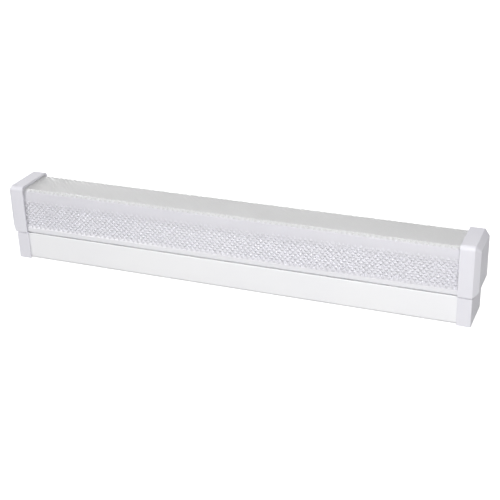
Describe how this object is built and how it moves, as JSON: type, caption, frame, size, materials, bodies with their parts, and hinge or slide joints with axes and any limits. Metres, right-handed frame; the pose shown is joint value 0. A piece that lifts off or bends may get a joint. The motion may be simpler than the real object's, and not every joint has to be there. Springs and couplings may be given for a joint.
{
  "type": "led batten light",
  "caption": "Linear LED batten light: clear prismatic diffuser with bevelled white end caps, lifting off a white folded steel base that holds LED boards, driver and mains terminals.",
  "frame": {"origin": "centre of the mounting face, under the base channel", "axes": "+X along the light, +Y from its front to its back, +Z away from the mounting face"},
  "size_m": [0.61, 0.061, 0.101],
  "materials": {
    "prismatic_acrylic": "clear, prismatic outside",
    "white_moulding": "satin moulded white",
    "white_powder_coat": "smooth satin powder coat",
    "zinc_steel": "bright zinc plate",
    "spring_steel": "hardened steel strip",
    "white_circuit_board": "white solder mask on aluminium core",
    "led_phosphor": "yellow phosphor",
    "natural_nylon": "moulded natural nylon",
    "grey_nylon": "moulded grey nylon",
    "orange_nylon": "moulded orange nylon",
    "brass": "bright brass",
    "black_rubber": "matt black rubber",
    "driver_case_white": "moulded white polycarbonate",
    "green_circuit_board": "green solder mask",
    "ferrite": "pressed dark ferrite",
    "capacitor_sleeve": "shrunk dark sleeve",
    "copper_winding": "enamelled copper wire",
    "brown_pvc": "extruded brown insulation",
    "blue_pvc": "extruded blue insulation",
    "green_yellow_pvc": "extruded green and yellow insulation",
    "red_pvc": "extruded red insulation",
    "black_pvc": "extruded black insulation"
  },
  "bodies": {
    "base": {"base_channel": "white_powder_coat", "base_end_cap_left": "white_moulding", "base_end_cap_right": "white_moulding", "cable_grommet": "black_rubber", "gear_tray": "white_powder_coat", "led_board_left": "white_circuit_board", "led_board_right": "white_circuit_board", "led_chips_left": "led_phosphor", "led_chips_right": "led_phosphor", "input_connector": "natural_nylon", "board_link": "natural_nylon", "board_rivets": "natural_nylon", "terminal_bracket": "zinc_steel", "terminal_base": "grey_nylon", "terminal_housing": "grey_nylon", "terminal_clamps": "brass", "terminal_screws": "zinc_steel", "earth_tag": "brass", "earth_washer": "zinc_steel", "earth_screw": "zinc_steel", "driver_case": "driver_case_white", "driver_lid": "driver_case_white", "driver_board": "green_circuit_board", "driver_transformer": "ferrite", "driver_capacitors": "capacitor_sleeve", "driver_choke": "copper_winding", "driver_plugs": "natural_nylon", "driver_screws": "zinc_steel", "live_wire": "brown_pvc", "neutral_wire": "blue_pvc", "earth_wire": "green_yellow_pvc", "led_positive_wire": "red_pvc", "led_negative_wire": "black_pvc", "tray_wire_bush": "black_rubber", "diffuser_clips": "spring_steel", "clip_rivets": "spring_steel"},
    "cover": {"diffuser": "prismatic_acrylic", "diffuser_end_cap_left": "white_moulding", "diffuser_end_cap_right": "white_moulding"},
    "latch_left": {"latch_knob_left": "white_moulding", "latch_bar_left": "zinc_steel", "latch_nut_left": "spring_steel"},
    "latch_right": {"latch_knob_right": "white_moulding", "latch_bar_right": "zinc_steel", "latch_nut_right": "spring_steel"},
    "button_live": {"release_button_live": "orange_nylon"},
    "button_neutral": {"release_button_neutral": "orange_nylon"},
    "button_earth": {"release_button_earth": "orange_nylon"}
  },
  "joints": [
    {"name": "cover_lift", "type": "slide", "parent": "base", "child": "cover", "axis": [0, 0, 1], "range_m": [0, 0.08], "deforming": ["diffuser_clips"]},
    {"name": "latch_left_turn", "type": "hinge", "parent": "base", "child": "latch_left", "pos_m": [-0.27, 0, 0.044], "axis": [0, 0, 1], "range_deg": [0, 90]},
    {"name": "latch_right_turn", "type": "hinge", "parent": "base", "child": "latch_right", "pos_m": [0.27, 0, 0.044], "axis": [0, 0, 1], "range_deg": [0, 90]},
    {"name": "button_live_press", "type": "slide", "parent": "base", "child": "button_live", "axis": [0, 0, -1], "range_m": [0, 0.0012], "stiffness_N_per_m": 400},
    {"name": "button_neutral_press", "type": "slide", "parent": "base", "child": "button_neutral", "axis": [0, 0, -1], "range_m": [0, 0.0012], "stiffness_N_per_m": 400},
    {"name": "button_earth_press", "type": "slide", "parent": "base", "child": "button_earth", "axis": [0, 0, -1], "range_m": [0, 0.0012], "stiffness_N_per_m": 400}
  ]
}
